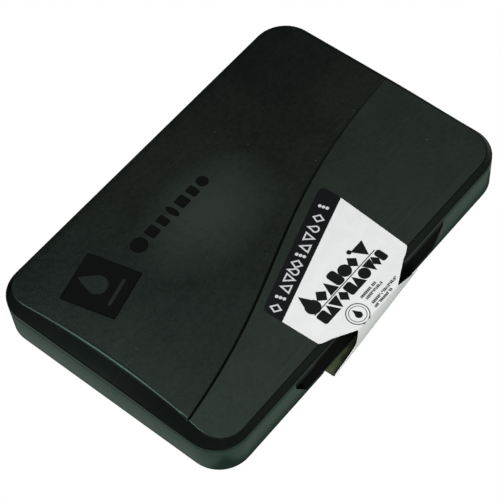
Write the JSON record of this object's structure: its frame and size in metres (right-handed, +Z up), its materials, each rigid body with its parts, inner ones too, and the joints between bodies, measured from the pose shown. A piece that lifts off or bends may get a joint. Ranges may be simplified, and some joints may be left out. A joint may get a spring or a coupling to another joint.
{
  "type": "ink pad",
  "caption": "Felt stamp pad under inked cloth in a flat black plastic case with round corners, a back-hinged crowned lid and a white label sealing the front.",
  "frame": {"origin": "on the surface that the case rests on, under the middle of its box", "axes": "+X along the long side, the way the label reads; -Y is the front with the finger recess and label; +Y is the hinge side; +Z is up"},
  "size_m": [0.125, 0.0884, 0.0156],
  "materials": {
    "lid_plastic": "black satin-gloss moulded polystyrene, fine scratches",
    "base_plastic": "black satin-gloss moulded polystyrene",
    "frame_plastic": "black satin",
    "grey_board": "grey chipboard",
    "felt_core": "coarse felt soaked with black ink",
    "felt_facing": "fine felt soaked with black ink",
    "inked_cloth": "plain-woven cotton wet with black ink",
    "label_front": null,
    "label_back": "glossy coated label, dark adhesive on its inner side"
  },
  "bodies": {
    "base": {"base_tray": "base_plastic", "pad_frame": "frame_plastic", "backing_board": "grey_board", "felt_core": "felt_core", "felt_facing": "felt_facing", "pad_cloth": "inked_cloth", "label_base_part": "label_back"},
    "lid": {"lid_shell": "lid_plastic", "label_lid_part": "label_front"}
  },
  "joints": [
    {"name": "lid_hinge", "type": "hinge", "parent": "base", "child": "lid", "pos_m": [0, 0.04262, 0.008], "axis": [-1, 0, 0], "range_deg": [0, 180]}
  ]
}
